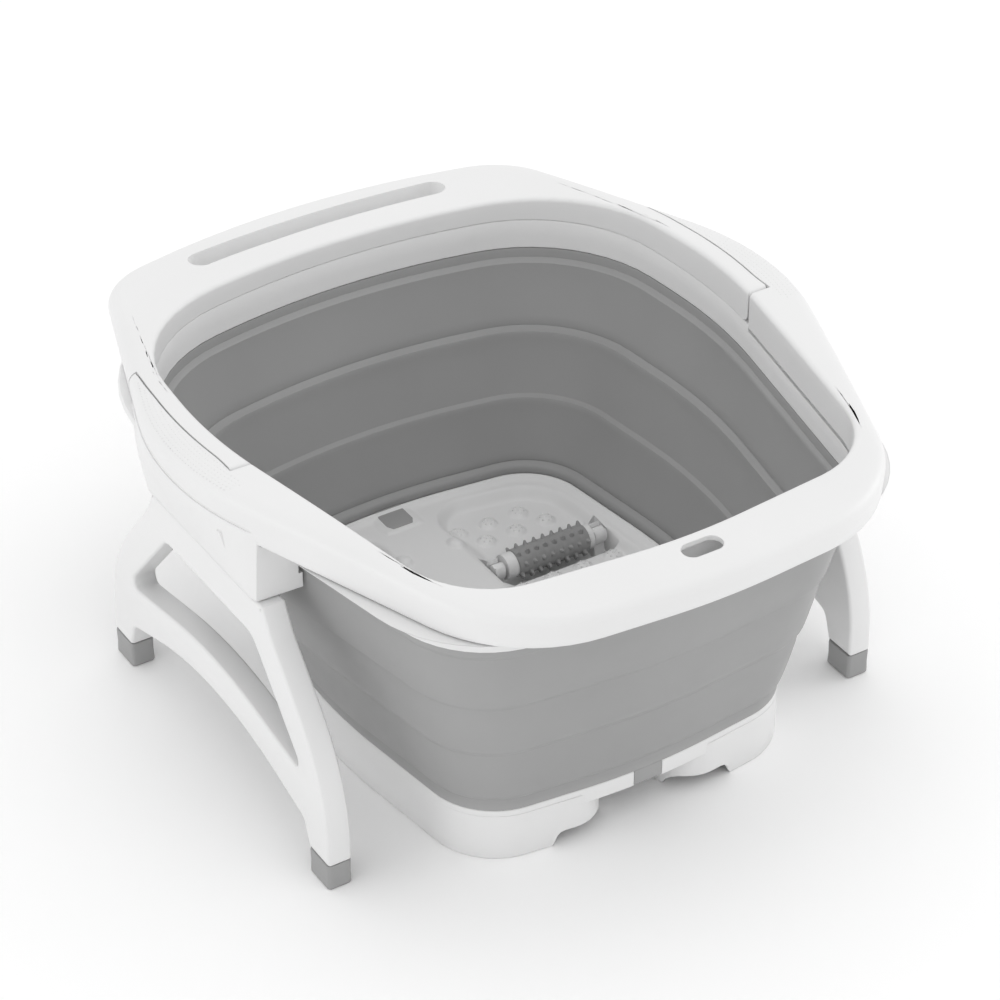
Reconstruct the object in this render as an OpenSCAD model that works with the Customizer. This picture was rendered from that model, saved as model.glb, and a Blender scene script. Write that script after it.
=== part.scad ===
// Collapsible foot spa basin: a rim with a swing-up handle, a folding wall, a base tray
// with two massage rollers, and two folding leg frames.
// Millimetres, +Z up, floor at Z = 0, -Y is the front, X = 0 is the plane of symmetry.
// The bowl is drawn around its own centre and then shifted so that Y = 0 is the middle
// of the whole object.

/* [Rim] */
// Height of the rim's highest line above the floor
rim_top = 236.6; // [233:0.2:240]
// Radius of the rim's long crown, seen from the side
crown_r = 3400; // [2500:50:6000]
// Y of the crown's highest line, from the bowl centre
crown_y = -36; // [-60:1:20]
// Height of the outer lip of the rim
lip_z = 210; // [206:0.5:214]
// Height of the seam under the handle
seam_z = 212.5; // [211:0.5:216]
// Height where the rim's inner band ends and the folding wall starts
band_z = 191; // [188:0.5:196]
// Wall thickness of the moulded plastic shells
wall = 3; // [2.4:0.1:3.6]
// Length of the hanging slot in the front of the rim
hang_l = 27; // [20:1:34]
// Width of the hanging slot
hang_w = 13; // [9:0.5:14]
// Y of the hanging slot, from the bowl centre
hang_y = -205; // [-208:0.5:-203]

/* [Handle] */
// Width of each handle arm
arm_w = 12.3; // [11:0.1:13]
// Y of the front end of the arms, from the bowl centre
arm_end_y = 1.5; // [0:0.5:6]
// Distance from the arm's end back to its pivot
pivot_back = 8; // [7:0.5:9]
// Height of the handle pivot above the floor
pivot_z = 229; // [228:0.5:230]
// Y where the handle widens over the whole rim, from the bowl centre
handle_wide_y = 131.5; // [125:0.5:140]
// Width of the grip slot
grip_w = 19; // [16:0.5:22]
// Half the length of the grip slot
grip_half = 87; // [70:1:95]
// Diameter of the handle pivot pins
handle_pin_d = 6; // [5:0.5:7]

/* [Base tray] */
// Height of the base's top edge
base_top = 43; // [40:0.5:46]
// Height of the two foot floors
floor_z = 32.5; // [30:0.5:35]
// Height of the ridge between the two foot floors
ridge_z = 40; // [38:0.5:42]
// Width of the channel under the ridge
channel_w = 44; // [38:1:50]
// Height of the shallow steps in the front and rear skirt
step_z = 10.3; // [6:0.1:14]
// Diameter of a massage stud
stud_d = 13; // [10:0.5:15]
// Height of a massage stud
stud_h = 3.2; // [2:0.1:4]

/* [Rollers] */
// X of the middle of a roller sleeve
roller_x = 70; // [66:0.5:72]
// Y of the roller axis, from the bowl centre
roller_y = 63.5; // [60:0.5:66]
// Height of the roller axis
roller_z = 38; // [37:0.5:40]
// Length of the roller sleeve
sleeve_l = 56; // [50:1:58]
// Diameter of the roller sleeve, without its nubs
sleeve_d = 19.5; // [17:0.5:20]
// Height of a nub on the sleeve
nub_h = 3; // [2:0.1:3.2]
// Diameter of the roller axle
axle_d = 8; // [6:0.5:9]

/* [Legs] */
// Y of the middle of the leg frames and housings, from the bowl centre
side_y = 24; // [22:0.5:26]
// Outer face of a leg frame
leg_out_x = 202.8; // [201:0.1:203]
// Thickness of a leg frame
leg_t = 16.8; // [15:0.1:18]
// Height of the leg frame's beam
leg_top_z = 168; // [165:0.5:168.2]
// X of the leg hinge axis
hinge_x = 190; // [189.5:0.5:191]
// Height of the leg hinge axis
hinge_z = 174; // [173.5:0.5:175]
// Diameter of the leg hinge pins
leg_pin_d = 6; // [5:0.5:7]
// Height of a rubber foot cap
cap_h = 18.5; // [16:0.5:20]

/* [Housings] */
// Height of the lower edge of a leg housing
housing_z = 169; // [168.8:0.1:172]
// Distance from the leg's middle to the front end of its housing
housing_front = 65.5; // [64:0.5:68]
// Distance from the leg's middle to the rear end of its housing
housing_rear = 73.5; // [66:0.5:76]
// Outer face of a housing at its lower edge
housing_x = 204.6; // [204:0.1:206]

/* [Hidden] */

$fn = 48;
ARC = 8;               // straight pieces in each rounded corner of an outline
GAP = 0.3;             // clearance between separate parts
RUN = 0.05;            // radial clearance of a pin in a bore
FAR = 400;             // larger than the object

// Outlines are half lists of corners [x, y, corner radius], from the front to the back.
outer_c = [[0, -231, 460], [138, -219.5, 94], [229.3, 33, 196], [154, 251, 58], [0, 291, 460]];
opening_c = [[0, -192, 400], [145, -178, 60], [187, 40, 330], [173, 185, 102], [0, 220.5, 470]];
base_c = [[0, -159.3, 407], [118, -146, 45], [137.4, 0, 395], [118, 146, 45], [0, 159.3, 407]];
// One foot lobe of the base, as a whole list
lobe_c = [[channel_w / 2 + 2, -157.5, 24], [118, -146, 45], [137.4, 0, 395], [118, 146, 45],
    [channel_w / 2 + 2, 157.5, 24]];
// The leg frame's side view, half lists of [distance from the middle, z, corner radius]
leg_c = [[0, 72, 260], [112, 37, 8], [118, cap_h + GAP, 0], [141, cap_h + GAP, 0],
    [141, 78, 130], [80, 150, 60], [70, leg_top_z, 1.5]];
window_c = [[0, 90, 300], [106.5, 71, 4], [107.5, 79.5, 7], [55.5, 139, 14]];
foot_in = 117.5;       // a foot's inner and outer distance from the leg's middle
foot_out = 141.2;

// How far the arc of a corner on the plane of symmetry stays inside that corner
function apex_drop(c, near) = c[2] * (sqrt(1 + pow((c[1] - near[1]) / near[0], 2)) - 1);
front_y = outer_c[0][1] + apex_drop(outer_c[0], outer_c[1]);
back_y = outer_c[4][1] - apex_drop(outer_c[4], outer_c[3]);
bowl_y = -(front_y + back_y) / 2;

function unit(v) = v / norm(v);
function mirrored(h) = concat(h, [for (i = [len(h) - 1:-1:0]) if (h[i][0] > 0)
    [-h[i][0], h[i][1], h[i][2]]]);
function normal(a, b) = [unit(b - a)[1], -unit(b - a)[0]];
function xy(p) = [p[0], p[1]];
// Points round one corner p between its neighbours a and b, moved outwards by d
function corner(a, p, b, d) =
    let (n1 = normal(xy(a), xy(p)), n2 = normal(xy(p), xy(b)), a1 = atan2(n1[1], n1[0]),
        turn = (atan2(n2[1], n2[0]) - a1 + 540) % 360 - 180, s = turn < 0 ? -1 : 1,
        mid = unit(n1 + n2), far = 1 / cos(turn / 2))
    p[2] == 0 ? [xy(p) + mid * d * far] :
    [for (k = [0:ARC]) xy(p) - s * p[2] * far * mid
        + s * (p[2] + s * d) * [cos(a1 + turn * k / ARC), sin(a1 + turn * k / ARC)]];
// The rounded outline of a whole list of corners, moved outwards by d
function outline(c, d = 0) = [for (i = [0:len(c) - 1])
    each corner(c[(i + len(c) - 1) % len(c)], c[i], c[(i + 1) % len(c)], d)];
function blend(c1, c2, t) = [for (i = [0:len(c1) - 1]) c1[i] * (1 - t) + c2[i] * t];

module prism(c, z0, z1, d = 0) {
    translate([0, 0, z0])
        linear_extrude(height = z1 - z0)
            polygon(outline(mirrored(c), d));
}

module ring(c, z0, z1, d0, d1) {
    difference() {
        prism(c, z0, z1, d1);
        prism(c, z0 - 1, z1 + 1, d0);
    }
}

module box(x0, x1, y0, y1, z0, z1) {
    translate([x0, y0, z0])
        cube([x1 - x0, y1 - y0, z1 - z0]);
}

module bar_x(r, x0, x1, y, z) {
    translate([x0, y, z])
        rotate([0, 90, 0])
            cylinder(r = r, h = x1 - x0);
}

module bar_y(r, y0, y1, x, z) {
    translate([x, y0, z])
        rotate([-90, 0, 0])
            cylinder(r = r, h = y1 - y0);
}

// Everything is drawn from the bowl centre and placed by this shift.
module placed() {
    translate([0, bowl_y, 0])
        children();
}

// Copies its children on both sides of the plane of symmetry.
module both_sides() {
    children();
    mirror([1, 0, 0])
        children();
}

// The space under the rim's crown, lowered by drop
module under_crown(drop = 0) {
    translate([-FAR, crown_y, rim_top - crown_r])
        rotate([0, 90, 0])
            cylinder(r = crown_r - drop, h = 2 * FAR, $fn = 360);
}

// Height of the crown at y
function crown_z(y) = rim_top - crown_r + sqrt(pow(crown_r, 2) - pow(y - crown_y, 2));

/* ---------- rim ---------- */

pivot_y = arm_end_y + pivot_back;
seam_gap = 0.8;                       // gap beside the handle arms
end_gap = 1.8;                        // gap in front of the arm ends
arm_space_y = arm_end_y - end_gap;
boss_r = 8;
boss_in = 196.2;
boss_out = 208;
flat_x = 193.9;                       // the arms' outer faces near the pivots, flat up to flat_y
flat_y = 13;
rear_y = handle_wide_y - seam_gap;    // where the rim's crown stops and the handle begins

// The plan of the arms, widened by d: it follows the opening and runs straight round the pivots
module arm_plan(z0, z1, d, y0) {
    intersection() {
        union() {
            prism(opening_c, z0, z1, arm_w + d);
            box(-flat_x - d, flat_x + d, y0 - 1, flat_y, z0, z1);
        }
        box(-FAR, FAR, y0, FAR, z0 - 1, z1 + 1);
    }
}

// A housing's cross-section, drawn in x and z, with its outer side moved inwards by t
module housing_section(z0, z1, t) {
    slope = 17 / (lip_z + 1 - housing_z);
    polygon([[150, z0], [housing_x - t + slope * (z0 - housing_z), z0],
        [housing_x - t + slope * (z1 - housing_z), z1], [150, z1]]);
}

// Draws a cross-section along the housing, stopping short of its ends by inset
module along_housing(inset) {
    translate([0, side_y + housing_rear - inset, 0])
        rotate([90, 0, 0])
            linear_extrude(height = housing_front + housing_rear - 2 * inset)
                children();
}

// A side housing for one leg's hinges: outer wall, two end walls and two ribs
module housing() {
    difference() {
        intersection() {
            union() {
                difference() {
                    along_housing(0)
                        housing_section(housing_z, lip_z + 1, 0);
                    intersection() {
                        along_housing(3.5)
                            housing_section(housing_z - 1, lip_z - wall, wall);
                        prism(outer_c, housing_z - 2, lip_z + 2, 1 - wall);
                    }
                }
                for (s = [-1, 1])
                    intersection() {
                        box(160, 230, side_y + s * 37.75 - 1.75, side_y + s * 37.75 + 1.75,
                            housing_z + 0.2, lip_z - 1);
                        along_housing(0)
                            housing_section(housing_z, lip_z, 1.5);
                    }
            }
            prism(outer_c, housing_z - 3, lip_z + 3, 1);
        }
        // clear of the folding wall
        prism(opening_c, housing_z - 5, hinge_z + 6, -0.6);
        prism(opening_c, hinge_z + 5, band_z + 0.4, 2.6);
    }
}

// The crowned ring in front of the handle, hollow from below
module rim_crown() {
    difference() {
        intersection() {
            prism(outer_c, lip_z, rim_top + 2);
            box(-FAR, FAR, -FAR, rear_y, 0, FAR);
            under_crown();
        }
        difference() {
            intersection() {
                prism(outer_c, lip_z - 1, rim_top, -wall);
                box(-FAR, FAR, -FAR, rear_y - wall, 0, FAR);
                under_crown(wall);
            }
            prism(opening_c, lip_z - 2, rim_top + 3, wall);
            arm_plan(lip_z - 2, rim_top + 3, seam_gap + wall, arm_space_y - wall);
        }
        // channels for the handle arms
        arm_plan(lip_z - 1, rim_top + 5, seam_gap, arm_space_y);
    }
}

module rim_frame() {
    color([0.93, 0.93, 0.93])
        placed()
            difference() {
                union() {
                    rim_crown();
                    // ledge that carries the handle
                    intersection() {
                        prism(opening_c, lip_z - 1.5, seam_z, 24);
                        box(-FAR, FAR, arm_space_y - 2, FAR, 0, FAR);
                    }
                    // band inside the bowl
                    prism(opening_c, band_z, seam_z - 0.7, 6);
                    both_sides()
                        housing();
                    both_sides()
                        intersection() {
                            bar_x(boss_r, boss_in, boss_out, pivot_y, pivot_z);
                            under_crown(1);
                        }
                }
                prism(opening_c, housing_z - 5, rim_top + 5);
                hang_slot();
                both_sides() {
                    bar_x(handle_pin_d / 2, 190, boss_out - 2, pivot_y, pivot_z);
                    for (s = [-1, 1])
                        leg_pin_space(s, leg_pin_d / 2);
                }
            }
}

module hang_slot() {
    half = (hang_l - hang_w) / 2;
    translate([0, 0, lip_z - 5])
        linear_extrude(height = 60)
            union() {
                translate([-half, hang_y - hang_w / 2])
                    square([2 * half, hang_w]);
                for (s = [-1, 1])
                    translate([s * half, hang_y])
                        circle(d = hang_w);
            }
}

/* ---------- handle ---------- */

grip_y = 245;          // Y of the grip slot's middle
grip_r = 640;          // radius of its bend in plan

// The grip slot, widened all round by d
module grip(z0, z1, d = 0) {
    a = asin(grip_half / grip_r);
    w = grip_w / 2 + d;
    translate([0, grip_y - grip_r, z0])
        linear_extrude(height = z1 - z0)
            polygon(concat(
                [for (k = [-ARC:ARC]) (grip_r - w) * [sin(a * k / ARC), cos(a * k / ARC)]],
                [for (k = [1:11]) grip_r * [sin(a), cos(a)] + w * [cos(k * 15 - 90 - a), sin(k * 15 - 90 - a)]],
                [for (k = [ARC:-1:-ARC]) (grip_r + w) * [sin(a * k / ARC), cos(a * k / ARC)]],
                [for (k = [1:11]) grip_r * [-sin(a), cos(a)] + w * [cos(k * 15 + 90 + a), sin(k * 15 + 90 + a)]]));
}

// Everything in front of the arm ends, with the ends rounded so that they can turn
module arm_end_cut() {
    low_r = 7.5;
    top_r = 3.4;
    z0 = seam_z + GAP;
    low = [arm_end_y + low_r, z0 + low_r];
    top = [arm_end_y + top_r, crown_z(arm_end_y + top_r) - top_r + 0.05];
    translate([-FAR, 0, 0])
        rotate([90, 0, 90])
            linear_extrude(height = 2 * FAR)
                polygon(concat(
                    [[-FAR, z0 - 3], low + [0.5, -low_r - 0.2]],
                    [for (k = [0:7]) low + low_r * [cos(260 - k * 80 / 7), sin(260 - k * 80 / 7)]],
                    [for (k = [0:7]) top + top_r * [cos(180 - k * 10), sin(180 - k * 10)]],
                    [top + [0.3, top_r + 0.4], top + [0.3, 20], [-FAR, rim_top + 20]]));
}

module carry_handle() {
    z0 = seam_z + GAP;
    color([0.94, 0.94, 0.94])
        placed()
            difference() {
                intersection() {
                    union() {
                        difference() {
                            prism(outer_c, z0, rim_top + 2);
                            box(-FAR, FAR, -FAR, handle_wide_y, 0, FAR);
                        }
                        intersection() {
                            arm_plan(z0, rim_top + 2, 0, 0);
                            box(-FAR, FAR, -1, handle_wide_y + 1, 0, FAR);
                        }
                    }
                    under_crown();
                }
                prism(opening_c, z0 - 1, rim_top + 3);
                // hollow underside, left solid round the grip slot
                difference() {
                    intersection() {
                        prism(outer_c, z0 - 1, rim_top, -wall);
                        under_crown(wall);
                        box(-FAR, FAR, handle_wide_y + wall, FAR, 0, FAR);
                    }
                    prism(opening_c, z0 - 2, rim_top + 2, wall);
                    grip(z0 - 2, rim_top + 2, wall);
                }
                grip(z0 - 5, rim_top + 5);
                arm_end_cut();
                both_sides()
                    bar_x(handle_pin_d / 2 + RUN, pin_in_x - 1, 220, pivot_y, pivot_z);
            }
}
pin_in_x = 185;

module handle_pin() {
    color([0.75, 0.76, 0.78])
        placed()
            bar_x(handle_pin_d / 2, pin_in_x, boss_out - 2.5, pivot_y, pivot_z);
}

/* ---------- folding wall ---------- */

// Levels of the wall: [z, 0 at the rim to 1 at the base, extra inset]
wall_levels = [[band_z - GAP, 0, 0], [183, 0.02, 0], [180, 0.08, 0], [139, 0.3, 0],
    [135, 0.38, 0], [94, 0.62, 0], [90, 0.69, 0], [50, 0.93, 0], [46, 1, 0], [38 + GAP, 1, 0]];
wall_t = 2;

function level_points(l, d) = [for (p = outline(blend(mirrored(opening_c), mirrored(base_c), l[1]), d))
    [p[0], p[1], l[0]]];

module folding_wall() {
    inner = [for (l = wall_levels) level_points(l, 0)];
    outer = [for (l = wall_levels) level_points(l, wall_t)];
    n = len(inner[0]);
    m = len(wall_levels);
    rings = concat(outer, [for (i = [m - 1:-1:0]) inner[i]]);
    points = [for (r = rings) each r];
    faces = [for (i = [0:2 * m - 1], k = [0:n - 1])
        let (i2 = (i + 1) % (2 * m), k2 = (k + 1) % n)
        each [[i * n + k, i2 * n + k, i2 * n + k2], [i * n + k, i2 * n + k2, i * n + k2]]];
    color([0.62, 0.62, 0.62])
        placed()
            polyhedron(points = points, faces = faces, convexity = 10);
}

module wall_anchor(s) {
    face = base_c[4][1] - apex_drop(base_c[4], base_c[3]) + 2;
    color([0.6, 0.6, 0.6])
        placed()
            scale_y(s)
                union() {
                    box(-10.2, 10.2, face - 3.4, face, 27.3, 38);
                    box(-10.2, 10.2, face - 3.4, face - 2.3, 37, ridge_z + 1.6);
                    box(-10.2, 10.2, face - 25, face - 2.3, ridge_z + 0.1, ridge_z + 1.6);
                }
}

module scale_y(s) {
    if (s < 0)
        mirror([0, 1, 0])
            children();
    else
        children();
}

/* ---------- base tray ---------- */

module lobe(z0, z1, d = 0) {
    translate([0, 0, z0])
        linear_extrude(height = z1 - z0)
            polygon(outline(lobe_c, d));
}

floor_t = 3;
well_half_l = 45.5;      // roller well, half length and half width
well_half_w = 15;
well_x = 70.5;
stud_rows = [[[32, 117], [56, 117], [80, 117]],
    [[21, 100.5], [44.5, 100.5], [68, 100.5], [91.5, 100.5]],
    [[37, 41.5], [60.5, 41.5], [84, 41.5], [107.5, 41.5]],
    [[32, -14], [56, -14], [80, -14], [104, -14]],
    [[44, -31], [68, -31], [92, -31]],
    [[32, -92], [56, -92], [80, -92]],
    [[44, -109], [68, -109], [92, -109]]];

// The skirt, the floor and the roller well of the right foot
module foot_side() {
    difference() {
        lobe(0, floor_z, 2);
        lobe(-1, floor_z - floor_t, -0.8);
        for (s = [-1, 1])
            scale_y(s)
                box(27, 63, 120, 200, -1, step_z);
        box(well_x - well_half_l, well_x + well_half_l, roller_y - well_half_w,
            roller_y + well_half_w, 0, FAR);
    }
    difference() {
        box(well_x - well_half_l - 2, well_x + well_half_l + 2, roller_y - well_half_w - 2,
            roller_y + well_half_w + 2, 19, floor_z - 1);
        box(well_x - well_half_l, well_x + well_half_l, roller_y - well_half_w,
            roller_y + well_half_w, 21, FAR);
    }
    for (row = stud_rows, p = row)
        translate([p[0], p[1], floor_z - 0.2])
            cylinder(d1 = stud_d, d2 = stud_d * 0.55, h = stud_h);
    cradle(well_x - well_half_l - 1.5, roller_x - sleeve_l / 2 - 9.5);
    cradle(roller_x + sleeve_l / 2 + 5, well_x + well_half_l + 1.5);
}

// A fork that holds the axle: a bored block, open at the top for snapping it in
module cradle(x0, x1) {
    r = axle_d / 2 + RUN;
    difference() {
        union() {
            box(x0, x1, roller_y - 7.5, roller_y + 7.5, 20, roller_z);
            intersection() {
                bar_x(7.5, x0, x1, roller_y, roller_z);
                box(x0, x1, roller_y - 8, roller_y + 8, roller_z - 1, roller_z + 3.2);
            }
        }
        bar_x(r, x0 - 1, x1 + 1, roller_y, roller_z);
        box(x0 - 1, x1 + 1, roller_y - 2.6, roller_y + 2.6, roller_z, roller_z + 10);
    }
}

module base_tray() {
    half = channel_w / 2;
    color([0.92, 0.92, 0.92])
        placed()
            difference() {
                union() {
                    ring(base_c, 27, 38, -1.6, 2);
                    ring(base_c, 30, base_top, -3, -0.2);
                    ring(base_c, floor_z - floor_t, ridge_z, -14, -1);
                    both_sides()
                        foot_side();
                    // ridge between the feet
                    box(-half - 1, half + 1, -154, 154, ridge_z - floor_t, ridge_z);
                    both_sides()
                        box(half - 1, half + 2, -150, 150, floor_z - floor_t, ridge_z);
                }
                for (s = [-1, 1])
                    scale_y(s)
                        box(-10.5, 10.5, 150, 170, 27, FAR);
            }
}

/* ---------- rollers ---------- */

sleeve_x0 = roller_x - sleeve_l / 2;
sleeve_x1 = roller_x + sleeve_l / 2;
collar_d = 17.5;
tube_r = 5.5;          // the axle's body inside the sleeve

// The axle with its fixed collar on the outer side
module roller_axle() {
    color([0.95, 0.95, 0.95])
        placed()
            union() {
                bar_x(axle_d / 2, well_x - well_half_l + 1, well_x + well_half_l - 3, roller_y, roller_z);
                bar_x(tube_r, sleeve_x0, sleeve_x1 + 0.1, roller_y, roller_z);
                bar_x(collar_d / 2, sleeve_x1 + 0.1, sleeve_x1 + 4, roller_y, roller_z);
            }
}

module roller_sleeve() {
    rows = 8;
    around = 8;
    pitch = sleeve_l / rows;
    color([0.45, 0.45, 0.45])
        placed()
            difference() {
                union() {
                    bar_x(sleeve_d / 2, sleeve_x0, sleeve_x1, roller_y, roller_z);
                    for (i = [0:rows - 1], k = [0:around - 1])
                        translate([sleeve_x0 + (i + 0.3 + 0.4 * (k % 2)) * pitch, roller_y, roller_z])
                            rotate([360 / around * (k + 0.5), 0, 0])
                                cylinder(r = 1.3, h = sleeve_d / 2 + nub_h, $fn = 6);
                }
                bar_x(tube_r + RUN, sleeve_x0 - 1, sleeve_x1 + 1, roller_y, roller_z);
            }
}

// The loose collar pushed on at the inner side
module roller_collar() {
    color([0.95, 0.95, 0.95])
        placed()
            difference() {
                bar_x(collar_d / 2, sleeve_x0 - 8, sleeve_x0 - 0.1, roller_y, roller_z);
                bar_x(axle_d / 2 + RUN, sleeve_x0 - 9, sleeve_x0 + 1, roller_y, roller_z);
            }
}

/* ---------- legs ---------- */

knuckle_r = 6.5;
knuckle_in = 40.5;     // distances of a knuckle's two faces from the leg's middle
knuckle_out = 60.5;

// The hole or pin of one hinge, s = -1 for the front and 1 for the rear
module leg_pin_space(s, r) {
    translate([0, side_y, 0])
        scale_y(s)
            bar_y(r, 35, (s < 0 ? housing_front : housing_rear) - 1, hinge_x, hinge_z);
}

module leg_plate(c, x0, x1, d = 0) {
    translate([x0, side_y, 0])
        rotate([90, 0, 90])
            linear_extrude(height = x1 - x0)
                polygon(outline(mirrored(c), d));
}

module leg_frame() {
    x0 = leg_out_x - leg_t;
    color([0.93, 0.93, 0.93])
        placed()
            difference() {
                union() {
                    difference() {
                        leg_plate(leg_c, x0, leg_out_x);
                        leg_plate(window_c, x0 - 1, leg_out_x + 1);
                        // sloped inner top edge, which swings up under the housing
                        translate([0, FAR, 0])
                            rotate([90, 0, 0])
                                linear_extrude(height = 2 * FAR)
                                    polygon([[x0 - 2, leg_top_z - 6], [x0 + 6, leg_top_z + 1],
                                        [x0 - 2, leg_top_z + 1]]);
                    }
                    for (s = [-1, 1])
                        translate([0, side_y, 0])
                            scale_y(s) {
                                bar_y(knuckle_r, knuckle_in, knuckle_out, hinge_x, hinge_z);
                                box(x0 + 0.4, hinge_x + knuckle_r - 0.4, knuckle_in, knuckle_out,
                                    leg_top_z - 5, hinge_z);
                                // tenon inside the foot cap
                                box(x0 + 2.5, leg_out_x - 2.5, foot_in + 3, foot_out - 3, 5, cap_h + 2);
                            }
                }
                for (s = [-1, 1])
                    translate([0, side_y, 0])
                        scale_y(s)
                            bar_y(leg_pin_d / 2 + RUN, knuckle_in - 1, knuckle_out + 1, hinge_x, hinge_z);
            }
}

module leg_pin(s) {
    color([0.75, 0.76, 0.78])
        placed()
            translate([0, side_y, 0])
                scale_y(s)
                    bar_y(leg_pin_d / 2, 36, (s < 0 ? housing_front : housing_rear) - 1.5, hinge_x, hinge_z);
}

module foot_cap(s) {
    x0 = leg_out_x - leg_t;
    color([0.62, 0.62, 0.62])
        placed()
            translate([0, side_y, 0])
                scale_y(s)
                    difference() {
                        box(x0, leg_out_x, foot_in, foot_out, 0, cap_h);
                        box(x0 + 2.4, leg_out_x - 2.4, foot_in + 2.9, foot_out - 2.9, 4.8, FAR);
                    }
}

module left() {
    mirror([1, 0, 0])
        children();
}

rim_frame();
carry_handle();
left() handle_pin();  // handle_pin_left
handle_pin();  // handle_pin_right
folding_wall();
wall_anchor(-1);  // wall_anchor_front
wall_anchor(1);  // wall_anchor_rear
base_tray();
left() roller_axle();  // roller_axle_left
roller_axle();  // roller_axle_right
left() roller_sleeve();  // roller_sleeve_left
roller_sleeve();  // roller_sleeve_right
left() roller_collar();  // roller_collar_left
roller_collar();  // roller_collar_right
left() leg_frame();  // leg_frame_left
leg_frame();  // leg_frame_right
left() leg_pin(-1);  // leg_pin_left_front
left() leg_pin(1);  // leg_pin_left_rear
leg_pin(-1);  // leg_pin_right_front
leg_pin(1);  // leg_pin_right_rear
left() foot_cap(-1);  // foot_cap_left_front
left() foot_cap(1);  // foot_cap_left_rear
foot_cap(-1);  // foot_cap_right_front
foot_cap(1);  // foot_cap_right_rear
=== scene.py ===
import math

import bmesh
import bpy
import numpy as np
from mathutils import Matrix, Vector


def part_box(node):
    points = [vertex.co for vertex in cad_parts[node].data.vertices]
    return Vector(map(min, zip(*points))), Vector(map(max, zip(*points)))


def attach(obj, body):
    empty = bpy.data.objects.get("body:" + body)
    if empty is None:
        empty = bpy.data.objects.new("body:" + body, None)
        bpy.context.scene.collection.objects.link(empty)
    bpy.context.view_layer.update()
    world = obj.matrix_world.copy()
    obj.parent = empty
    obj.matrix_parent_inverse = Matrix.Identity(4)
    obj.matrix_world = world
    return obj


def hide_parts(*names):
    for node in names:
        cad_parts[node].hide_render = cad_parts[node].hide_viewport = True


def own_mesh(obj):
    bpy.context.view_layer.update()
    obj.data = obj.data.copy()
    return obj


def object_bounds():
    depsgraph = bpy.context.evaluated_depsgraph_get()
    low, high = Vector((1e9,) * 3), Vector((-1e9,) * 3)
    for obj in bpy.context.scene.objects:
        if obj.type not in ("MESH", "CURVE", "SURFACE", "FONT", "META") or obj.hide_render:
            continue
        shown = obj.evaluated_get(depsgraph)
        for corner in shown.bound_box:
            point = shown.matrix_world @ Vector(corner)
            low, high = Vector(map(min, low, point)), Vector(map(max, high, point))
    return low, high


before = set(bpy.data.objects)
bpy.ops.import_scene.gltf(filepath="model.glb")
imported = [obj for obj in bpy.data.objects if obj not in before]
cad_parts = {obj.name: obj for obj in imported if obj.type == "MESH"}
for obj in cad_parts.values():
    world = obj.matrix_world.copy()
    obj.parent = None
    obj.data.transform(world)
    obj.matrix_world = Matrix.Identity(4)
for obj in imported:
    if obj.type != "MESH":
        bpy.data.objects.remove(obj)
CAD_BOX = [list(v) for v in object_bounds()]

# Lengths are in mm, drawn from the middle of the bowl; at() turns them into the frame's metres.
MM = 0.001
BASE_LO, BASE_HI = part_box("base_tray")
BOWL_Y = (BASE_LO.y + BASE_HI.y) / 2 / MM
RIM_TOP = CAD_BOX[1][2] / MM

# ---------------------------------------------------------------- camera
CAMERA_AZIMUTH, CAMERA_ELEVATION = 32.056, 35.024
CAMERA_X, CAMERA_Y, CAMERA_Z = -0.9269, -1.4675 + BOWL_Y * MM, 1.3594
azimuth = math.radians(CAMERA_AZIMUTH)
elevation = math.radians(CAMERA_ELEVATION)
forward = Vector((math.sin(azimuth) * math.cos(elevation), math.cos(azimuth) * math.cos(elevation),
                  -math.sin(elevation)))
right = Vector((math.cos(azimuth), -math.sin(azimuth), 0))
up = right.cross(forward)
camera_data = bpy.data.cameras.new("camera")
camera = bpy.data.objects.new("camera", camera_data)
bpy.context.scene.collection.objects.link(camera)
camera_data.lens = 121.5
camera_data.sensor_width = 36
camera_data.clip_end = 50
camera.matrix_world = Matrix((
    (right.x, up.x, -forward.x, CAMERA_X),
    (right.y, up.y, -forward.y, CAMERA_Y),
    (right.z, up.z, -forward.z, CAMERA_Z),
    (0, 0, 0, 1)))
bpy.context.scene.camera = camera

# ---------------------------------------------------------------- sizes
# Outlines: the corners of the right half from front to rear, each with its x, y and corner radius. For the
# leg and its window, seen from the side: the distance from the leg's middle, the height and the radius.
OUTER = [[0, -231, 460], [138, -219.5, 94], [229.3, 33, 196], [154, 251, 58], [0, 291, 460]]
OPENING = [[0, -192, 400], [145, -178, 60], [187, 40, 330], [173, 185, 102], [0, 220.5, 470]]
BASE = [[0, -159.3, 407], [118, -146, 45], [137.4, 0, 395], [118, 146, 45], [0, 159.3, 407]]
LOBE = [[24, -157.5, 24], [118, -146, 45], [137.4, 0, 395], [118, 146, 45], [24, 157.5, 24]]
LEG = [[0, 72, 260], [112, 37, 8], [118, 19.2, 0], [141, 19.2, 0], [141, 78, 130], [80, 150, 60],
       [70, 168, 1.5]]
WINDOW = [[0, 90, 300], [106.5, 71, 4], [107.5, 79.5, 7], [55.5, 139, 14]]
# Rim and handle: the crown is an arc seen from the side, and the seam is the handle's underside.
CROWN_R, CROWN_Y = 3400, -36
SEAM_Z = 212.5
SKIRT_Z = 210.3
EDGE_R = 3.4
EDGE_DROP = 7.2
ARM_W, ARM_GAP = 12.3, 1.1
ARM_END, ARM_SPACE = 1.5, -0.3
FLAT_X = 193.9
WIDE_Y = 131.5
REAR_Y = WIDE_Y - ARM_GAP
UNDER_IN, UNDER_OUT, UNDER_TOP = 3.2, -3.6, 3.2
FAR = 400
SLOT_Y, SLOT_R, SLOT_HALF = -205, 6.6, 7
DOT_PITCH = 3.1
GRIP_HALF, GRIP_BEND, GRIP_HALF_W, GRIP_Y = 87, 640, 9.5, 245
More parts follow.
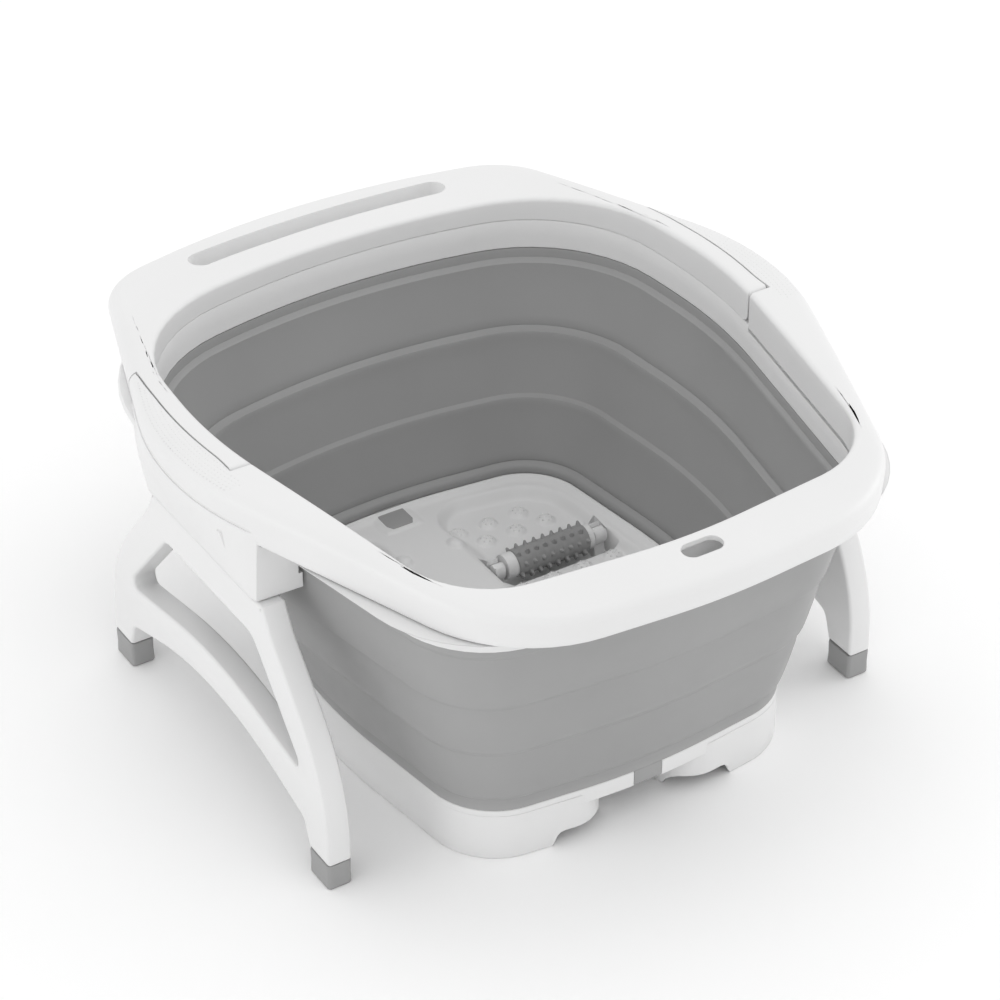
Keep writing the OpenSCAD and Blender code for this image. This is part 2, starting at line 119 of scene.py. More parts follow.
# Side housings and legs.
SIDE_Y = 24
HOUSING_X, HOUSING_Z, HOUSING_WALL = 204.6, 169, 3
HOUSING_FRONT, HOUSING_REAR = 65.5, 73.5
RIB_Y, RIB_T = 37.75, 3.5
LEG_X1, LEG_T = 202.8, 16.8
HINGE_X, HINGE_Z = 190, 174
KNUCKLE_IN, KNUCKLE_OUT, KNUCKLE_R, PIN_HOLE_R = 40.5, 60.5, 6.5, 3.05
FOOT_Y, FOOT_HALF, FOOT_TOP = 129.35, 11.85, 18.5
# Base tray and rollers.
FLOOR_Z, RIDGE_Z, EDGE_Z = 32.4, 40.4, 42.5
FLOOR_GRID = 1.3
FLOOR_T, WELL_Z = 2.4, 21.5
STUD_R, STUD_H = 6.8, 3.0
TAB_Z = 41.4
ROLLER_X, ROLLER_Y, ROLLER_Z = 70, 63.5, 38
ROLLER_HALF, ROLLER_R, SLEEVE_HOLE_R = 28, 9.75, 5.6
FORK_R, FORK_HOLE_R = 7.2, 4.15
WELL = (25, 116, ROLLER_Y - 15, ROLLER_Y + 15)


def crown(y):
    """The height of the rim's top at y."""
    return RIM_TOP - CROWN_R + math.sqrt(CROWN_R ** 2 - (y - CROWN_Y) ** 2)


def mirrored(half):
    """The whole outline from its right half."""
    return half + [[-x, y, r] for x, y, r in reversed(half) if x > 0]


def mixed(one, two, t):
    """Corners that lie t of the way from one outline's to the other's."""
    return [[a * (1 - t) + b * t for a, b in zip(p, q)] for p, q in zip(one, two)]


def corner(a, p, b, d, n):
    """Points round corner p between its neighbours a and b, moved outwards by d."""
    u1 = Vector((p[0] - a[0], p[1] - a[1])).normalized()
    u2 = Vector((b[0] - p[0], b[1] - p[1])).normalized()
    n1, n2 = Vector((u1.y, -u1.x)), Vector((u2.y, -u2.x))
    a1 = math.atan2(n1.y, n1.x)
    turn = (math.atan2(n2.y, n2.x) - a1 + 3 * math.pi) % (2 * math.pi) - math.pi
    s = -1 if turn < 0 else 1
    mid, far = (n1 + n2).normalized(), 1 / math.cos(turn / 2)
    tip = Vector(p[:2])
    if p[2] == 0:
        return [tip + mid * d * far]
    centre = tip - s * p[2] * far * mid
    return [centre + s * (p[2] + s * d) * Vector((math.cos(a1 + turn * k / n), math.sin(a1 + turn * k / n)))
            for k in range(n + 1)]


def outline(corners, d=0.0, arc=10, steps=5):
    """A rounded outline as points, counter-clockwise; outlines of equal structure match point for point."""
    n = len(corners)
    arcs = [corner(corners[i - 1], corners[i], corners[(i + 1) % n], d, arc) for i in range(n)]
    out = []
    for i in range(n):
        out += arcs[i]
        a, b = arcs[i][-1], arcs[(i + 1) % n][0]
        out += [a.lerp(b, k / steps) for k in range(1, steps)]
    return out


def right_half(corners, d, arc, steps):
    """The right half of an outline's points, from front to rear."""
    points = [p for p in outline(mirrored(corners), d, arc, steps) if p.x > 0]
    return sorted(points, key=lambda p: p.y)


def reach(points, y):
    """How far out a half outline lies at y."""
    return float(np.interp(y, [p.y for p in points], [p.x for p in points]))


def round_points(x, y, r, degrees):
    """Points on a circle at the given angles."""
    return [(x + r * math.cos(math.radians(a)), y + r * math.sin(math.radians(a))) for a in degrees]


def at(x, y, z):
    """A place in the frame from mm drawn from the bowl's middle."""
    return Vector((x * MM, (y + BOWL_Y) * MM, z * MM))


# ---------------------------------------------------------------- mesh helpers
def linked(name, data):
    """A new object in the scene."""
    obj = bpy.data.objects.new(name, data)
    bpy.context.scene.collection.objects.link(obj)
    return obj


def mesh_object(name, verts, faces):
    """An object from its points and faces, with the faces turned outwards."""
    mesh = bpy.data.meshes.new(name)
    mesh.from_pydata([tuple(v) for v in verts], [], faces)
    bm = bmesh.new()
    bm.from_mesh(mesh)
    bmesh.ops.recalc_face_normals(bm, faces=bm.faces)
    bm.to_mesh(mesh)
    bm.free()
    return linked(name, mesh)


def loft(name, rings, closed=True):
    """A skin through rings of equal length: the last joins the first if closed, else both ends are capped."""
    n, m = len(rings[0]), len(rings)
    verts = [p for r in rings for p in r]
    faces = [(i * n + k, (i + 1) % m * n + k, (i + 1) % m * n + (k + 1) % n, i * n + (k + 1) % n)
             for i in range(m if closed else m - 1) for k in range(n)]
    if not closed:
        faces += [tuple(range(n)), tuple((m - 1) * n + k for k in range(n))]
    return mesh_object(name, verts, faces)


def prism(name, points, z0, z1, axes="xyz"):
    """Points in the plane of the first two axes, extruded along the third."""
    order = [axes.index(c) for c in "xyz"]
    rings = [[at(*[(p[0], p[1], z)[i] for i in order]) for p in points] for z in (z0, z1)]
    return loft(name, rings, closed=False)


def box(name, x0, x1, y0, y1, z0, z1):
    """A block between two corners, for cutting and for plain inner pieces."""
    return prism(name, [(x0, y0), (x1, y0), (x1, y1), (x0, y1)], z0, z1)


def remove(obj):
    bpy.data.objects.remove(obj, do_unlink=True)


def applied(obj):
    """The object with its modifiers made real."""
    bpy.context.view_layer.update()
    graph = bpy.context.evaluated_depsgraph_get()
    mesh = bpy.data.meshes.new_from_object(obj.evaluated_get(graph))
    obj.modifiers.clear()
    obj.data = mesh
    return obj


def boolean(obj, other, how="DIFFERENCE"):
    """Cuts the other solid out of obj, or keeps what they share, and uses the other up."""
    m = obj.modifiers.new("cut", "BOOLEAN")
    m.operation, m.solver, m.object = how, "MANIFOLD", other
    applied(obj)
    remove(other)


def join(name, objs):
    """One object made of the meshes of several."""
    bm = bmesh.new()
    for o in objs:
        o.data.transform(o.matrix_world)
        bm.from_mesh(o.data)
        remove(o)
    mesh = bpy.data.meshes.new(name)
    bm.to_mesh(mesh)
    bm.free()
    return linked(name, mesh)


def rounded(obj, width, angle=32):
    """Rounds the edges that are sharper than the angle."""
    m = obj.modifiers.new("edge", "BEVEL")
    m.width, m.segments = width * MM, 2
    m.limit_method, m.angle_limit = "ANGLE", math.radians(angle)
    m.use_clamp_overlap = True
    return applied(obj)


def smooth(obj, angle):
    """Smooth shading, except over edges sharper than the angle."""
    bm = bmesh.new()
    bm.from_mesh(obj.data)
    bmesh.ops.remove_doubles(bm, verts=bm.verts, dist=1e-6)
    bmesh.ops.dissolve_degenerate(bm, edges=bm.edges, dist=1e-6)
    limit = math.radians(angle)
    for f in bm.faces:
        f.smooth = True
    for e in bm.edges:
        e.smooth = len(e.link_faces) == 2 and e.calc_face_angle(0) < limit
    bm.to_mesh(obj.data)
    bm.free()


def dress(obj, material, body, slot, *nodes, angle=34):
    """Finishes a piece: its shading, material and body, and the CAD nodes that it stands for. The slot
    argument is not used.
    """
    smooth(obj, angle)
    obj.data.materials.clear()
    obj.data.materials.append(material)
    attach(obj, body)
    if nodes:
        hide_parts(*nodes)


def mirror_copy(obj, name):
    """A copy on the other side of the middle plane."""
    mesh = obj.data.copy()
    mesh.transform(Matrix.Scale(-1, 4, (1, 0, 0)))
    mesh.flip_normals()
    return linked(name, mesh)


# ---------------------------------------------------------------- materials
def material(name, shade, rough, bump_mm, grain, mottle, edge=0.0, spec=0.5, painted_edge_highlight=0.0):
    """A moulded plastic or rubber: fine grain, faint colour drift, uneven gloss, soft edges, and convex edges
    lightened as a painted highlight.
    """
    colour = shade if isinstance(shade, tuple) else (shade, shade, shade)
    mat = bpy.data.materials.new(name)
    mat.use_nodes = True
    tree = mat.node_tree
    nodes, links = tree.nodes, tree.links
    shader = nodes["Principled BSDF"]
    shader.inputs["Specular IOR Level"].default_value = spec
    place = nodes.new("ShaderNodeTexCoord")

    def noise(scale, detail, roughness=0.55):
        n = nodes.new("ShaderNodeTexNoise")
        n.inputs["Scale"].default_value = scale
        n.inputs["Detail"].default_value = detail
        n.inputs["Roughness"].default_value = roughness
        links.new(place.outputs["Object"], n.inputs["Vector"])
        return n

    def ranged(source, from_min, from_max, to_min, to_max):
        r = nodes.new("ShaderNodeMapRange")
        r.inputs["From Min"].default_value, r.inputs["From Max"].default_value = from_min, from_max
        r.inputs["To Min"].default_value, r.inputs["To Max"].default_value = to_min, to_max
        links.new(source, r.inputs["Value"])
        return r.outputs["Result"]

    drift = noise(9.0, 2.0)
    ramp = nodes.new("ShaderNodeValToRGB")
    ramp.color_ramp.elements[0].position, ramp.color_ramp.elements[1].position = 0.3, 0.7
    ramp.color_ramp.elements[0].color = [c * (1 - mottle) for c in colour] + [1]
    ramp.color_ramp.elements[1].color = [min(1, c * (1 + mottle)) for c in colour] + [1]
    links.new(drift.outputs["Fac"], ramp.inputs["Fac"])
    colour_out = ramp.outputs["Color"]
    # Painted highlight: convex edges, found by pointiness, are mixed towards a lighter colour as if lit.
    if painted_edge_highlight:
        geometry = nodes.new("ShaderNodeNewGeometry")
        mix = nodes.new("ShaderNodeMix")
        mix.data_type = "RGBA"
        links.new(ranged(geometry.outputs["Pointiness"], 0.52, 0.62, 0.0, painted_edge_highlight), mix.inputs["Factor"])
        links.new(colour_out, mix.inputs["A"])
        mix.inputs["B"].default_value = [min(1, c * 1.35 + 0.05) for c in colour] + [1]
        colour_out = mix.outputs["Result"]
    links.new(colour_out, shader.inputs["Base Color"])
    gloss = noise(38.0, 4.0)
    links.new(ranged(gloss.outputs["Fac"], 0.3, 0.7, rough - 0.05, rough + 0.06), shader.inputs["Roughness"])
    fine = noise(grain, 2.0, 0.6)
    bump = nodes.new("ShaderNodeBump")
    bump.inputs["Strength"].default_value = 0.35
    bump.inputs["Distance"].default_value = bump_mm * MM
    links.new(fine.outputs["Fac"], bump.inputs["Height"])
    if edge:
        soft = nodes.new("ShaderNodeBevel")
        soft.samples = 4
        soft.inputs["Radius"].default_value = edge * MM
        links.new(soft.outputs["Normal"], bump.inputs["Normal"])
    links.new(bump.outputs["Normal"], shader.inputs["Normal"])
    return mat


WHITE = material("white_plastic", 0.77, 0.36, 0.05, 900, 0.012, edge=0.7)
WHITE_BASE = material("white_plastic_base", 0.77, 0.40, 0.06, 900, 0.015)
# The grey elastomer gets a painted highlight along its convex fold edges.
GREY = material("grey_elastomer", 0.33, 0.46, 0.08, 1100, 0.03, spec=0.4, painted_edge_highlight=0.15)
CAP_GREY = material("cap_rubber", 0.33, 0.6, 0.10, 1300, 0.05, edge=0.4, spec=0.35)
DARK = material("roller_rubber", 0.31, 0.5, 0.10, 1300, 0.06, spec=0.4)
STEEL = material("pin_steel", (0.55, 0.56, 0.58), 0.30, 0.03, 1500, 0.03, edge=0.2)
STEEL.node_tree.nodes["Principled BSDF"].inputs["Metallic"].default_value = 1.0

# ---------------------------------------------------------------- rim and handle
def inner_line(d):
    """The rim's inner edge, moved out over the rim by d."""
    return outline(mirrored(OPENING), d)


def outer_line(d):
    """The rim's outer edge, moved outwards by d."""
    return outline(mirrored(OUTER), d)


def ring_at(points, z=None, below=0.0):
    """A ring of points at height z, or that far below the crown."""
    return [at(p[0], p[1], crown(p[1]) - below if z is None else z) for p in points]


def crown_rings(inner_z):
    """Rings from inner_z up the rim's inner edge, over its top and down its outer edge."""
    edge = inner_line(0)
    rings = [ring_at(edge, inner_z), ring_at(edge, below=9), ring_at(edge, below=EDGE_R)]
    for a in (18, 36, 54, 72):
        inwards, down = EDGE_R * math.cos(math.radians(a)), EDGE_R * math.sin(math.radians(a))
        rings.append(ring_at(inner_line(EDGE_R - inwards), below=EDGE_R - down))
    inner, outer = inner_line(4), outer_line(-11)
    for t in (0, 0.2, 0.4, 0.6, 0.8, 1):
        rings.append(ring_at([a.lerp(b, t) for a, b in zip(inner, outer)]))
    for d, below in ((-8, 0.12), (-5.6, 0.5), (-3.8, 1.1), (-2.4, 1.95), (-1.3, 3.0), (-0.6, 4.2),
                     (-0.15, 5.6), (0, EDGE_DROP)):
        rings.append(ring_at(outer_line(d), below=below))
    for d, share in ((-0.35, 0.35), (-0.9, 0.75)):
        rings.append([at(p.x, p.y, (crown(p.y) - EDGE_DROP) * (1 - share) + SKIRT_Z * share)
                      for p in outer_line(d)])
    return rings


def arm_prism(name, gap, y0, wide_y, z0):
    """The handle's plan: two arms along the opening and everything behind wide_y."""
    side = [p for p in right_half(OPENING, ARM_W + gap, 14, 16) if y0 < p.y < wide_y]
    side = [Vector((max(p.x, FLAT_X + gap), p.y)) if p.y < 14 else p for p in side]
    first = Vector((FLAT_X + gap, y0))
    last = side[-1] + (side[-1] - side[-2]) * (wide_y - side[-1].y) / (side[-1].y - side[-2].y)
    half = [first] + side + [last, Vector((300, wide_y)), Vector((300, FAR))]
    points = half + [Vector((-p.x, p.y)) for p in reversed(half)]
    return prism(name, points, z0, 260)


def arm_end_prism(z0):
    """Everything in front of the rounded arm ends."""
    low_r, top_r = 7.5, 3.4
    low_y, low_z = ARM_END + low_r, z0 + low_r
    top_y, top_z = ARM_END + top_r, crown(ARM_END + top_r) - top_r + 0.05
    points = [(-FAR, z0 - 3), (low_y + 0.5, low_z - low_r - 0.2)]
    points += round_points(low_y, low_z, low_r, range(260, 179, -8))
    points += round_points(top_y, top_z, top_r, range(180, 109, -7))
    points += [(top_y + 0.3, top_z + top_r + 0.4), (top_y + 0.3, top_z + 25), (-FAR, 262)]
    return prism("arm_end_cut", points, -FAR, FAR, "yzx")


def hollow():
    """The space under the crown, inside the rim's inner and outer walls."""
    inner, outer = inner_line(UNDER_IN), outer_line(UNDER_OUT)
    return loft("under", [
        ring_at(inner, 190), ring_at(inner, below=UNDER_TOP + 2),
        ring_at(inner_line(UNDER_IN + 2), below=UNDER_TOP),
        ring_at(outer_line(UNDER_OUT - 2.5), below=UNDER_TOP),
        ring_at(outer, below=UNDER_TOP + 3), ring_at(outer, 190)])


def hanging_slot():
    """The slot through the front of the rim."""
    half = round_points(SLOT_HALF, SLOT_Y, SLOT_R, range(-90, 91, 12))
    return prism("slot_cut", half + [(-x, y) for x, y in reversed(half)], 200, 250)


def rim_frame():
    """A solid ring, less the room for the handle, the hollow underside and the slot."""
    rings = crown_rings(SEAM_Z - 4)
    rings += [ring_at(outer_line(d), z) for d, z in ((-1.2, 211.2), (-1.7, SKIRT_Z), (-2.5, 210))]
    rings += [ring_at(inner_line(d), z) for d, z in ((8, 210), (3, 208.5))]
    rim = loft("rim_shell", rings)
    boolean(rim, arm_prism("arm_space", ARM_GAP, ARM_SPACE, REAR_Y, 200))
    under = hollow()
    boolean(under, arm_prism("keep", ARM_GAP + 3, ARM_SPACE - 3, REAR_Y - 3, 150))
    boolean(rim, under)
    boolean(rim, hanging_slot())
    return rim


def rim_band():
    """The collar under the rim, and the ledge that the handle lies on; in front only the collar."""
    band = loft("rim_band", [ring_at(inner_line(d), z) for d, z in (
        (0.5, 191), (0, 191.6), (0, 200), (0, 211.2), (0.5, 212.3), (1.2, SEAM_Z), (12, SEAM_Z),
        (22.6, SEAM_Z), (23.6, 211.5), (24, 210), (23, 208.6), (12, 208.5), (7.5, 208.3), (6, 206),
        (6, 192), (5.4, 191))])
    front_cut = box("front_cut", -300, 300, -FAR, ARM_SPACE - 1.5, SEAM_Z - 3.5, 250)
    boolean(front_cut, prism("collar", inner_line(6.5), 180, 250))
    boolean(band, front_cut)
    return band


dress(rim_frame(), WHITE, "rim", "white_plastic", "rim_frame")
dress(rim_band(), WHITE, "rim", "white_plastic")


# ---------------------------------------------------------------- side housings
def apron(inset, low_z, top_z, y0, y1, flare):
    """Rings up the apron: straight at its lower edge, and following the rim's outline at the top."""
    sides = right_half(OUTER, 0.15 - inset, 14, 10)
    bowl = right_half(OPENING, 0.3, 14, 10)
    straight = HOUSING_X - inset
    rings = []
    for z in (low_z, 169.4, 171, 176, 183, 190, 197, 204, 211, top_z):
        t = min(1, max(0, (z - HOUSING_Z) / 42))
        edge = 0 if inset else 0.9 * max(0.0, 1 - (z - HOUSING_Z) / 1.2)
        back = y1 + flare * t ** 1.3
        ys = [y0 + (back - y0) * k / 28 for k in range(29)]
        outer = [[straight + (reach(sides, y) - straight) * t - edge, y] for y in ys]
        if not inset:
            outer[0][0] -= 1.6
            outer[-1][0] -= 1.6
        outer[0][1] += edge
        outer[-1][1] -= edge
        inner = [[reach(bowl, y) - 2 * inset, y] for y in reversed(ys)]
        rings.append([at(x, y, z) for x, y in outer + inner])
    return rings


def housing():
    """A flared apron that grows out of the rim's side, and two hinge ribs. Its room comes out as an inner skin
    and not as a hollow, so the apron is open below only along the leg's way."""
    y0, y1 = SIDE_Y - HOUSING_FRONT, SIDE_Y + HOUSING_REAR
    room0, room1 = y0 + 3.5, y1 - 3.5
    block = loft("housing", apron(0, HOUSING_Z, 218, y0, y1, 30), closed=False)
    boolean(block, loft("room", apron(HOUSING_WALL, 160, 207, room0, room1, 27), closed=False))
    boolean(block, box("leg_way", 170, 186.5, room0, room1, 160, 178))
    boolean(block, prism("fold", outline(mirrored(OPENING), 2.8, 12, 8), 179.5, 192))
    boolean(block, prism("lid", outline(mirrored(OPENING), 5.4, 12, 8), 191.3, 230))
    boolean(block, prism("crown_room", outline(mirrored(OUTER), -3.4, 12, 8), 208, 230))
    parts = [block]
    for y in (SIDE_Y - RIB_Y, SIDE_Y + RIB_Y):
        rib = prism("rib", [(184.8, 169.6), (202.2, 169.6), (212, 207.5), (191.5, 207.5), (191.5, 192),
                            (187.2, 191), (187.2, 180), (184.8, 179)], y - RIB_T / 2, y + RIB_T / 2, "xzy")
        rounded(rib, 0.4)
        parts.append(rib)
    return join("housing_right", parts)


right_housing = housing()
left_housing = mirror_copy(right_housing, "housing_left")
dress(right_housing, WHITE, "rim", "white_plastic")
dress(left_housing, WHITE, "rim", "white_plastic")


# ---------------------------------------------------------------- handle
def grip_points(d):
    """The grip opening: a slot bent along an arc, wider by d."""
    width, middle = GRIP_HALF_W + d, GRIP_Y - GRIP_BEND
    a = math.degrees(math.asin(GRIP_HALF / GRIP_BEND))
    (right_x, end_y), (left_x, _) = round_points(0, middle, GRIP_BEND, (90 - a, 90 + a))
    points = round_points(0, middle, GRIP_BEND - width, [90 - a * k / 16 for k in range(-16, 17)])
    points += round_points(right_x, end_y, width, [k * 15 - 90 - a for k in range(1, 12)])
    points += round_points(0, middle, GRIP_BEND + width, [90 - a * k / 16 for k in range(16, -17, -1)])
    points += round_points(left_x, end_y, width, [k * 15 + 90 + a for k in range(1, 12)])
    return points


def handle_frame():
    """The handle: the part of the crown over its plan, hollow below behind the arms, with a grip opening."""
    low = SEAM_Z + 0.3
    handle = loft("carry_handle_shell", crown_rings(low - 3) + [ring_at(outer_line(-1.2), low - 3)])
    boolean(handle, arm_prism("plan", 0, 0.2, WIDE_Y, low), "INTERSECT")
    boolean(handle, arm_end_prism(low))
    under = hollow()
    boolean(under, box("front_part", -300, 300, -FAR, WIDE_Y + 3, 150, 260))
    boolean(under, prism("grip_wall", grip_points(3), 150, 260))
    boolean(handle, under)
    boolean(handle, loft("grip_cut", [[at(x, y, z) for x, y in grip_points(d)] for d, z in (
        (0, 190), (0, 227), (0.15, 229), (0.7, 231), (1.8, 232.6), (3.4, 234.2), (6, 237.5), (6, 250))],
        closed=False))
    return handle


dress(handle_frame(), WHITE, "handle", "white_plastic", "carry_handle")


# ---------------------------------------------------------------- folding wall
# Each level: its height, its share of the way from the opening's outline to the base's, and the inner and
# outer offset. The folds are at 183, 137, 94 and 49, with a small bead at 139 and 50.
LEVELS = [
    (190.6, 0.000, 0.3, 2.0), (187.0, 0.006, 0.0, 2.0), (184.2, 0.010, 0.0, 2.0), (183.0, 0.020, -1.6, 1.9),
    (181.5, 0.055, -1.3, 1.3), (179.0, 0.080, -0.2, 1.6), (170.0, 0.125, 0.6, 2.6), (158.0, 0.190, 0.9, 2.9),
    (146.0, 0.258, 0.5, 2.5), (140.6, 0.290, 0.1, 2.1), (139.2, 0.302, 0.9, 2.3), (138.2, 0.312, 0.2, 2.4),
    (137.2, 0.345, -2.0, 1.9), (135.2, 0.375, -1.1, 1.2), (132.5, 0.398, 0.0, 1.8), (124.0, 0.440, 0.6, 2.6),
    (112.0, 0.508, 0.8, 2.8), (99.0, 0.580, 0.4, 2.4), (95.0, 0.605, 0.0, 2.2), (93.6, 0.625, -2.4, 2.0),
    (91.8, 0.655, -1.6, 1.3), (89.2, 0.690, -0.1, 1.7), (80.0, 0.740, 0.6, 2.6), (68.0, 0.812, 0.7, 2.7),
    (56.0, 0.885, 0.4, 2.4), (51.4, 0.915, 0.1, 2.1), (50.3, 0.924, 0.8, 2.2), (49.2, 0.940, -1.8, 2.0),
    (48.0, 0.975, -1.2, 1.4), (46.4, 1.000, -0.4, 1.9), (43.4, 1.000, 0.0, 2.1), (38.6, 1.000, 0.2, 2.1)]


def wall_ring(z, t, d):
    """One side of the wall at a height, from its share of the way down and its offset."""
    return ring_at(outline(mixed(mirrored(OPENING), mirrored(BASE), t), d, 12, 6), z)


wall = loft("bellows", [wall_ring(z, t, b) for z, t, a, b in LEVELS]
            + [wall_ring(z, t, a) for z, t, a, b in reversed(LEVELS)])
dress(wall, GREY, "base", "grey_elastomer", "folding_wall", angle=40)
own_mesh(wall)

# ---------------------------------------------------------------- base tray
def inside_distance(px, py, polygon):
    """Distance of points inwards from a polygon's edge, negative outside."""
    best = np.full(px.shape, 1e9)
    winding = np.zeros(px.shape, bool)
    for i, b in enumerate(polygon):
        a = polygon[i - 1]
        dx, dy = b.x - a.x, b.y - a.y
        t = np.clip(((px - a.x) * dx + (py - a.y) * dy) / (dx * dx + dy * dy), 0, 1)
        best = np.minimum(best, np.hypot(px - a.x - t * dx, py - a.y - t * dy))
        crosses = (a.y > py) != (b.y > py)
        where = a.x + (py - a.y) * dx / (dy if dy else 1e-9)
        winding ^= crosses & (px < where)
    return np.where(winding, best, -best)


def step(lo, hi, v):
    """A smooth rise from 0 at lo to 1 at hi."""
    t = np.clip((v - lo) / (hi - lo), 0, 1)
    return t * t * (3 - 2 * t)


# Massage studs of the right foot's floor, one row of x, y after another from rear to front.
STUDS = [(32, 117), (56, 117), (80, 117), (21, 100.5), (44.5, 100.5), (68, 100.5), (91.5, 100.5),
         (37, 41.5), (60.5, 41.5), (84, 41.5), (107.5, 41.5),
         (32, -14), (56, -14), (80, -14), (104, -14), (44, -31), (68, -31), (92, -31),
         (32, -92), (56, -92), (80, -92), (44, -109), (68, -109), (92, -109)]


def spaced(lo, hi, pitch, extra):
    """Grid lines at a pitch, with the extra ones in place of their close neighbours."""
    values = list(np.arange(lo, hi + pitch / 2, pitch))
    values = [v for v in values if all(abs(v - e) > pitch * 0.45 for e in extra)] + list(extra)
    return np.array(sorted(values))


def floor_height(px, py, e):
    """The floor's upper side at points that lie e inside the base's edge."""
    ax = np.abs(px)
    # A rounded lobe for each foot, with the ridge between them.
    lobe = inside_distance(ax, py, outline([[20, -150, 26], [112, -134, 40], [125, 0, 380], [112, 134, 40],
                                            [20, 150, 26]], 0, 12, 5))
    soft = 5 + 9 * step(20, 60, 150 - np.abs(py)) * step(60, 24, ax)
    height = RIDGE_Z + (EDGE_Z - RIDGE_Z) * step(9, 1, e)
    height = height + (FLOOR_Z - height) * step(0, 1, lobe / (soft + 3.5))
    # A raised pad round each wall tab.
    pad = step(15.5, 12.5, ax) * step(131, 134, np.abs(py))
    height = np.maximum(height, height * (1 - pad) + TAB_Z * pad)
    for x, y in STUDS:
        r = np.hypot(ax - x, py - y)
        dome = np.sqrt(np.clip(1 - (r / STUD_R) ** 2, 0, 1))
        height = height + STUD_H * dome * step(STUD_R, STUD_R - 1.2, r)
    well = ((ax > WELL[0]) & (ax < WELL[1]) & (py > WELL[2]) & (py < WELL[3]))
    return np.where(well, WELL_Z, height)


def base_floor():
    """The tray's floor as a grid of heights, cut off at the base's edge and given a thickness."""
    xs = spaced(0, 137.5, FLOOR_GRID, [WELL[0] - 0.5, WELL[0] + 0.3, WELL[1] - 0.3, WELL[1] + 0.5])
    xs = np.concatenate([-xs[:0:-1], xs])
    ys = spaced(-158, 158, FLOOR_GRID, [WELL[2] - 0.5, WELL[2] + 0.3, WELL[3] - 0.3, WELL[3] + 0.5])
    px, py = np.meshgrid(xs, ys, indexing="ij")
    e = inside_distance(px, py, outline(mirrored(BASE), 0, 10, 5))
    height = floor_height(px, py, e)
    good = e > 0.9
    index = -np.ones(px.shape, int)
    index[good] = np.arange(good.sum())
    verts = [at(x, y, z) for x, y, z in zip(px[good], py[good], height[good])]
    a, b, c, d = index[:-1, :-1], index[1:, :-1], index[1:, 1:], index[:-1, 1:]
    full = (a >= 0) & (b >= 0) & (c >= 0) & (d >= 0)
    faces = np.stack([a[full], b[full], c[full], d[full]], 1).tolist()
    mesh = bpy.data.meshes.new("floor")
    mesh.from_pydata(verts, [], faces)
    obj = linked("base_floor", mesh)
    m = obj.modifiers.new("thick", "SOLIDIFY")
    m.thickness, m.offset = FLOOR_T * MM, -1
    return applied(obj)


def nub(x, y, z, r, h):
    """A small rounded nub standing on a surface at z."""
    rings = []
    for a in (0, 30, 55, 78):
        waist, lift = r * math.cos(math.radians(a)), h * math.sin(math.radians(a))
        rings.append([at(px, py, z + lift) for px, py in round_points(x, y, waist, range(0, 360, 45))])
    return loft("nub", rings, closed=False)


def stud_nubs():
    """Six small nubs round a taller one on every stud."""
    nubs = []
    for side in (-1, 1):
        for x, y in STUDS:
            nubs += [nub(nx, ny, FLOOR_Z + 2.2, 0.75, 1.25)
                     for nx, ny in round_points(side * x, y, 3.7, range(30, 390, 60))]
            nubs.append(nub(side * x, y, FLOOR_Z + 2.7, 0.9, 1.0))
    return join("stud_nubs", nubs)


dress(base_floor(), WHITE_BASE, "base", "white_plastic", "base_tray", angle=50)
dress(stud_nubs(), WHITE_BASE, "base", "white_plastic", angle=70)


def grip_dots():
    """Fine staggered dots on the rim beside the right handle arm, in rows along the rim's outer edge."""
    arm = right_half(OPENING, ARM_W + ARM_GAP + 1.4, 14, 16)
    dots = []
    for row, (d, below) in enumerate(((-19, 0), (-16, 0), (-13, 0), (-10, 0.05), (-7.2, 0.25), (-4.8, 0.75))):
        line = right_half(OUTER, d, 14, 10)
        for k in range(44):
            y = -16 + DOT_PITCH * (k + 0.5 * (row % 2))
            x = reach(line, y)
            if x >= (reach(arm, y) if y > 2 else 195):
                dots.append(nub(x, y, crown(y) - below - 0.25, 0.72, 0.4))
    return join("grip_dots_right", dots)


right_dots = grip_dots()
left_dots = mirror_copy(right_dots, "grip_dots_left")
dress(right_dots, WHITE, "rim", "white_plastic", angle=70)
dress(left_dots, WHITE, "rim", "white_plastic", angle=70)


def base_rim():
    """The upright edge of the tray, with the flange outside it."""
    def rings(*levels):
        return [ring_at(outline(mirrored(BASE), d, 12, 6), z) for d, z in levels]

    edge = loft("base_edge", rings((-0.2, 30), (-0.2, 42.3), (-0.6, 42.9), (-1.4, 43), (-2.4, 42.5),
                                   (-3.1, 41), (-3.2, 30)))
    flange = loft("flange", rings((-1.6, 27), (2, 27), (2.1, 31), (2.1, 37.2), (1.7, 37.9), (1.0, 38.1),
                                  (-1.6, 38)))
    boolean(flange, box("tab_slot", -10.5, 10.5, -180, 180, 20, 60))
    return join("base_rim", [edge, flange])


def skirt(side):
    """The foot under one half of the tray, with a notch at each end."""
    ring = loft("skirt", [[Vector((side * p.x, p.y, p.z)) for p in ring_at(outline(LOBE, d, 12, 8), z)]
                          for d, z in ((2.05, 34), (2.0, 20), (1.7, 1.2), (1.1, 0.3), (0.3, 0), (-0.6, 0.4),
                                       (-0.8, 1.2), (-0.8, 34))])
    notch = [(23, -3), (25.2, 5), (27.0, 8.2), (30.5, 10), (34, 10.3), (58, 10.3), (61, 9.6), (63.2, 7.4),
             (64.8, 3.5), (66.5, 0.8), (69, -3)]
    for end in (-1, 1):
        boolean(ring, prism("notch", [(side * x, z) for x, z in notch], end * 120, end * 200, "xzy"))
    return ring


dress(base_rim(), WHITE_BASE, "base", "white_plastic", angle=50)
dress(skirt(1), WHITE, "base", "white_plastic")
dress(skirt(-1), WHITE, "base", "white_plastic")


